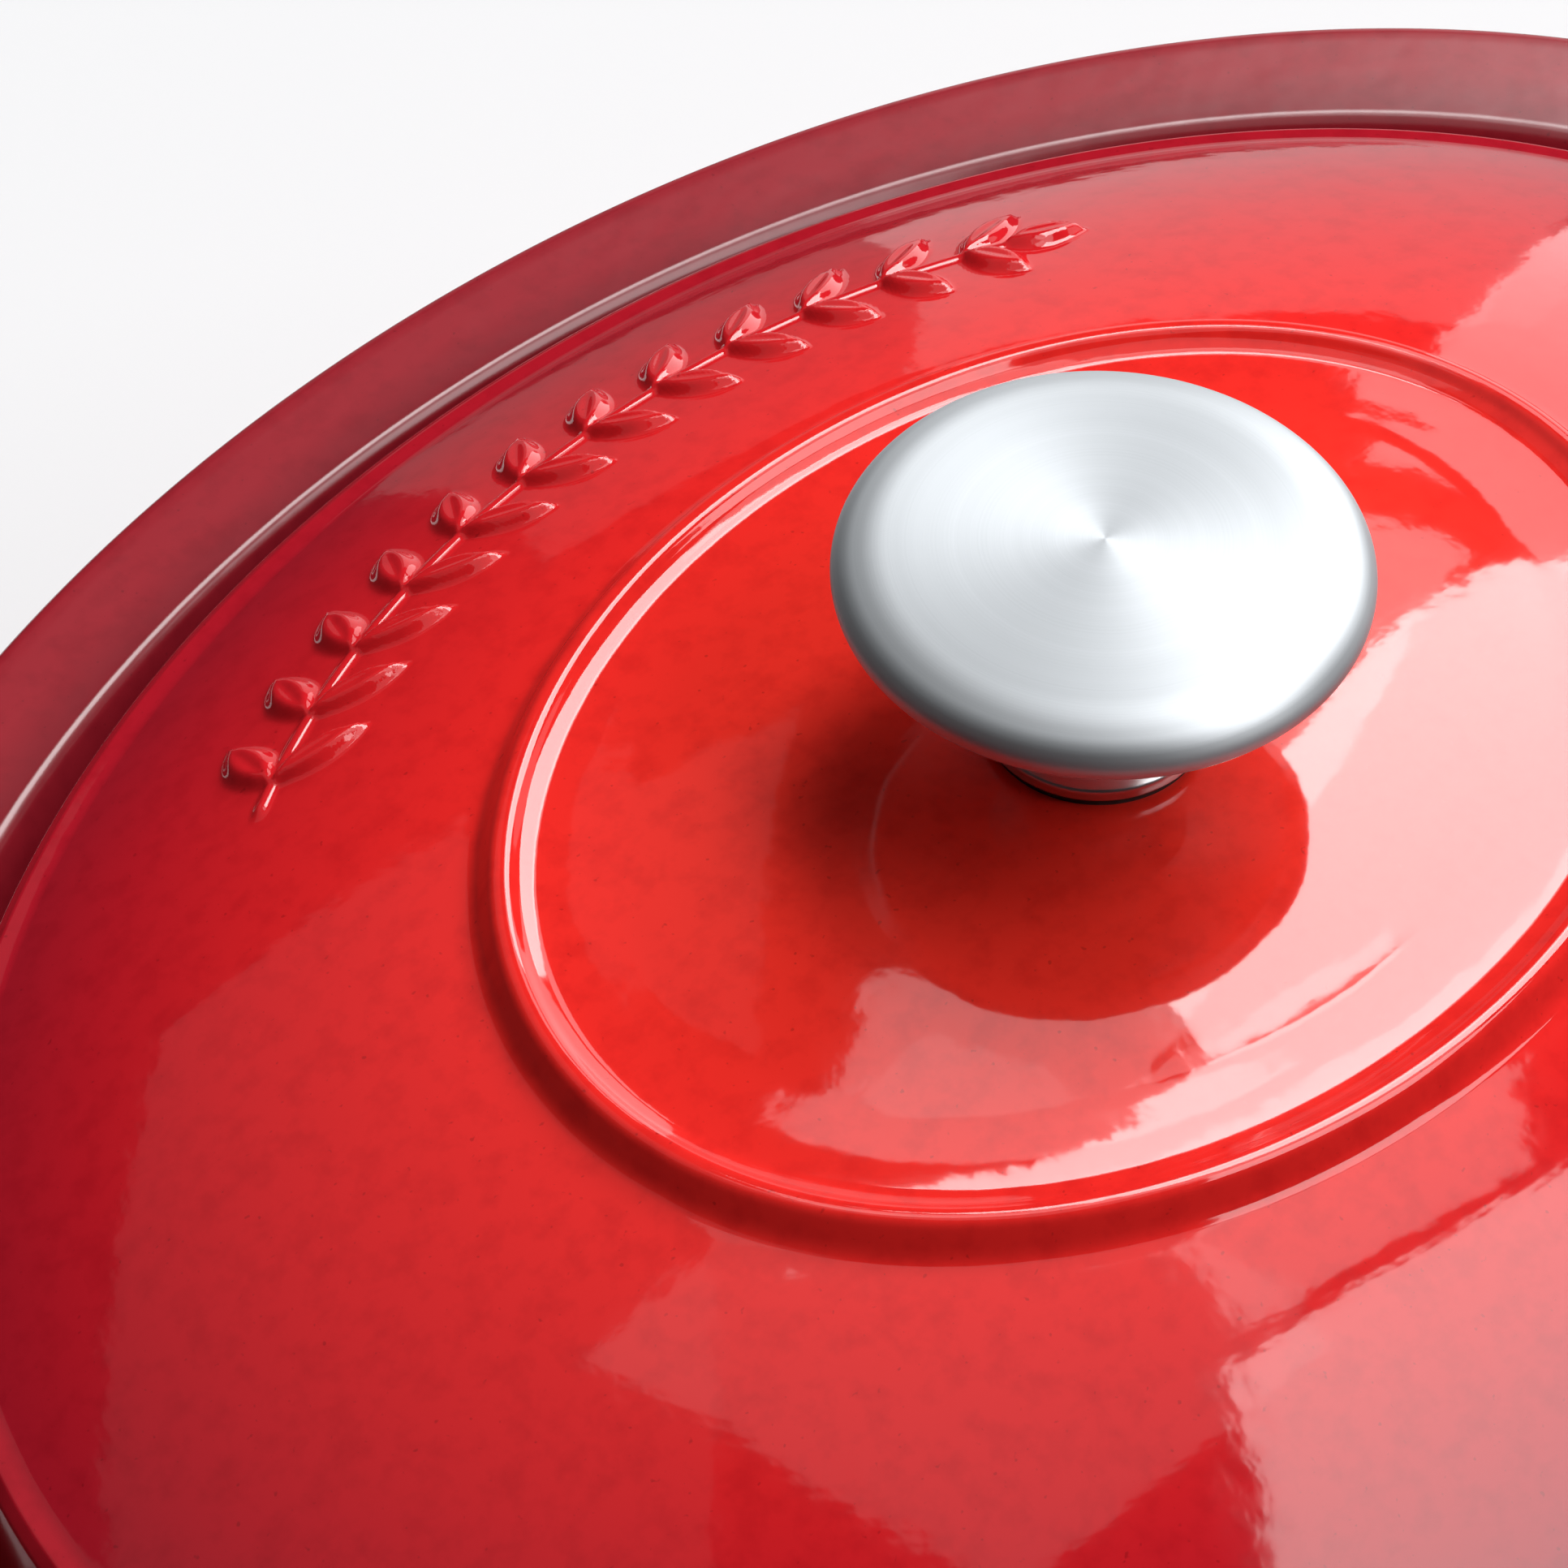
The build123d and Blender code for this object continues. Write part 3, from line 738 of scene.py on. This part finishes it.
def silicone():
    graph = Graph("gasket_silicone")
    tone = graph.ramp(graph.noise(800, 2), [(0.3, (0.02,) * 3), (0.7, (0.04,) * 3)])
    graph.put(graph.shader, "Base Color", tone)
    graph.put(graph.shader, "Roughness", 0.6)
    graph.put(graph.shader, "Normal", graph.bump(graph.noise(2500, 2), 0.2, 0.0001))
    return graph.material


def paint(piece, material):
    piece.data.materials.clear()
    piece.data.materials.append(material)


def paint_node(node, material):
    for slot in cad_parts[node].material_slots:
        slot.material = material


# ---- Colours, finishes and pieces ----
# The lid's enamel colour from the knob out to the rim, with painted shade in the groove inside the
# rim.
LID_COLOURS_AND_GROOVE_SHADE = [
    (0.0, (0.90, 0.036, 0.020)),
    (0.28, (0.82, 0.028, 0.018)),
    (0.46, (0.72, 0.018, 0.016)),
    (0.62, (0.58, 0.012, 0.016)),
    (0.72, (0.46, 0.008, 0.016)),
    (0.80, (0.35, 0.007, 0.017)),
    (0.83, (0.36, 0.007, 0.016)),
    # Painted shade: the dip at 0.85 and 0.90 makes the groove and its slope darker than the
    # enamel's own colour.
    (0.85, (0.18, 0.006, 0.012)),
    (0.90, (0.20, 0.008, 0.015)),
    (0.94, (0.28, 0.012, 0.021)),
    (1.0, (0.28, 0.012, 0.021)),
]
POT_STOPS = [
    (0.0, (0.30, 0.010, 0.014)),
    (0.2, (0.50, 0.013, 0.012)),
    (0.6, (0.66, 0.018, 0.012)),
    (0.86, (0.45, 0.012, 0.012)),
    (1.0, (0.26, 0.012, 0.018)),
]
LID_GLOSS = [(0.0, (0.05,) * 3), (0.82, (0.06,) * 3), (0.9, (0.24,) * 3), (1.0, (0.24,) * 3)]
POT_GLOSS = [(0.0, (0.08,) * 3), (0.88, (0.08,) * 3), (0.95, (0.2,) * 3), (1.0, (0.2,) * 3)]
lid_enamel = red_enamel("red_enamel_lid", LID_COLOURS_AND_GROOVE_SHADE, LID_GLOSS, False)
pot_enamel = red_enamel("red_enamel_pot", POT_STOPS, POT_GLOSS, True)
cream = cream_enamel()
face_steel = turned_steel("turned_steel", 0.60, 0.50, 0.6, (0.46, 0.48, 0.50))
side_steel = turned_steel("satin_steel", 0.28, 0.22, 0.5, (0.66, 0.66, 0.67))
fastener = plain_steel()

paint(build_lid(), lid_enamel)
paint(build_lid_lining(), cream)
paint(build_pot(), pot_enamel)
paint(build_pot_lining(), cream)
for piece, metal in zip(build_knob(), (face_steel, side_steel, side_steel)):
    paint(piece, metal)
for node in ("flat_washer", "spring_washer", "knob_screw"):
    paint_node(node, fastener)
paint_node("knob_gasket", silicone())


# ---- Floor, light and camera ----
TABLE_RADIUS = 0.45
STAGE_RADIUS = 12.0
STAGE_LEVEL = -0.0003
FLOOR_GLOW = 0.3
WALL_GLOW = 0.6
WALL_HEIGHT = 9.0
STAGE_COLOUR = (0.47, 0.47, 0.475, 1)
GLOW_COLOUR = (0.97, 0.98, 1.0, 1)
LIGHT_DISTANCE = 6.0
WORLD_COLOUR = (0.92, 0.95, 1.0)
WORLD_STRENGTH = 0.02
# The camera's angles in degrees, its distance and target in millimetres.
CAMERA_AZIMUTH = -46.465
CAMERA_ELEVATION = 48.418
CAMERA_DISTANCE = 611.7
CAMERA_TARGET = (-5.8, 33.4)
CAMERA_LENS = 146.18
# Name, azimuth from +X, elevation, width and height, radiance, turn. All but radiance in degrees.
LIGHTS = [
    ("window", 13, 49, 22, 34, 11.5, -23),
    ("window_right", 31, 46, 9, 22, 3.0, -10),
    ("window_head", 36, 69, 16, 15, 2.5, 0),
    ("window_low", 19, 14, 22, 34, 2.6, 0),
    ("side_window", -61, 51, 26, 37, 5.4, -46),
    ("side_window_top", -12, 66, 16, 16, 2.5, 0),
    ("ceiling", 0, 84, 36, 22, 0.75, 0),
    ("far_ceiling", 104, 58, 58, 36, 0.22, 35),
    ("far_wall", 40, 2, 20, 34, 0.55, 0),
    ("far_wall_side", 46, 2, 36, 34, 0.2, 0),
    ("side_wall", -16, 20, 24, 30, 1.2, 0),
]


def turned_surface(name, profile, columns=96):
    """An open surface of revolution for the stage, from (radius, height) pairs in metres."""
    angles = np.linspace(0, 2 * math.pi, columns, endpoint=False)
    rings = [(r * math.cos(a), r * math.sin(a), z) for r, z in profile for a in angles]
    mesh = bpy.data.meshes.new(name)
    mesh.from_pydata(rings, [], loop_faces(len(profile), columns, False))
    surface = bpy.data.objects.new(name, mesh)
    bpy.context.collection.objects.link(surface)
    return surface


def build_stage():
    """A pale table, with a floor and wall far round it that stay out of reflections."""
    table = turned_surface("table", [(TABLE_RADIUS, STAGE_LEVEL), (0.001, STAGE_LEVEL)])
    floor = turned_surface("floor", [(STAGE_RADIUS, STAGE_LEVEL), (TABLE_RADIUS, STAGE_LEVEL)])
    wall = turned_surface("backdrop", [(STAGE_RADIUS, WALL_HEIGHT), (STAGE_RADIUS, STAGE_LEVEL)])
    floor.visible_glossy = wall.visible_glossy = wall.visible_diffuse = False
    floor.visible_shadow = wall.visible_shadow = False
    for surface, glow in ((table, FLOOR_GLOW), (floor, FLOOR_GLOW), (wall, WALL_GLOW)):
        graph = Graph(surface.name)
        graph.put(graph.shader, "Base Color", STAGE_COLOUR)
        graph.put(graph.shader, "Roughness", 0.8)
        graph.shader.inputs["Emission Color"].default_value = GLOW_COLOUR
        graph.shader.inputs["Emission Strength"].default_value = glow
        paint(surface, graph.material)


def direction(azimuth, elevation):
    """Unit vector; azimuth from +X towards +Y."""
    a, e = math.radians(azimuth), math.radians(elevation)
    return Vector((math.cos(a) * math.cos(e), math.sin(a) * math.cos(e), math.sin(e)))


def panel(name, azimuth, elevation, width, height, radiance, turn):
    """A soft rectangular light that faces the lid; its width and height are angles."""
    data = bpy.data.lights.new(name, "AREA")
    data.shape = "RECTANGLE"
    data.size = 2 * LIGHT_DISTANCE * math.tan(math.radians(width / 2))
    data.size_y = 2 * LIGHT_DISTANCE * math.tan(math.radians(height / 2))
    data.energy = radiance * data.size * data.size_y * math.pi
    lamp = bpy.data.objects.new(name, data)
    way = direction(azimuth, elevation)
    lamp.location = Vector((0, 0, LID_PLANE * MM)) + way * LIGHT_DISTANCE
    lamp.rotation_mode = "QUATERNION"
    turned = Quaternion((0, 0, 1), math.radians(turn))
    lamp.rotation_quaternion = way.to_track_quat("Z", "Y") @ turned
    lamp.visible_camera = False
    bpy.context.collection.objects.link(lamp)


def build_world():
    world = bpy.data.worlds.new("studio")
    world.use_nodes = True
    background = world.node_tree.nodes["Background"]
    background.inputs["Color"].default_value = (*WORLD_COLOUR, 1)
    background.inputs["Strength"].default_value = WORLD_STRENGTH
    bpy.context.scene.world = world


def build_camera():
    """The camera looks down over the pot's left front corner at the lid's knob side."""
    azimuth, elevation = math.radians(CAMERA_AZIMUTH), math.radians(CAMERA_ELEVATION)
    target = Vector((*CAMERA_TARGET, LID_PLANE))
    back = Vector((math.sin(azimuth) * math.cos(elevation),
                   -math.cos(azimuth) * math.cos(elevation),
                   math.sin(elevation)))
    data = bpy.data.cameras.new("camera")
    data.lens = CAMERA_LENS
    data.sensor_width = 36.0
    data.clip_start, data.clip_end = 0.01, 50
    camera = bpy.data.objects.new("camera", data)
    camera.location = (target + back * CAMERA_DISTANCE) * MM
    camera.rotation_mode = "QUATERNION"
    camera.rotation_quaternion = (-back).to_track_quat("-Z", "Y")
    bpy.context.collection.objects.link(camera)
    bpy.context.scene.camera = camera


build_stage()
for light in LIGHTS:
    panel(*light)
build_world()
build_camera()
bpy.context.scene.view_settings.view_transform = "Standard"
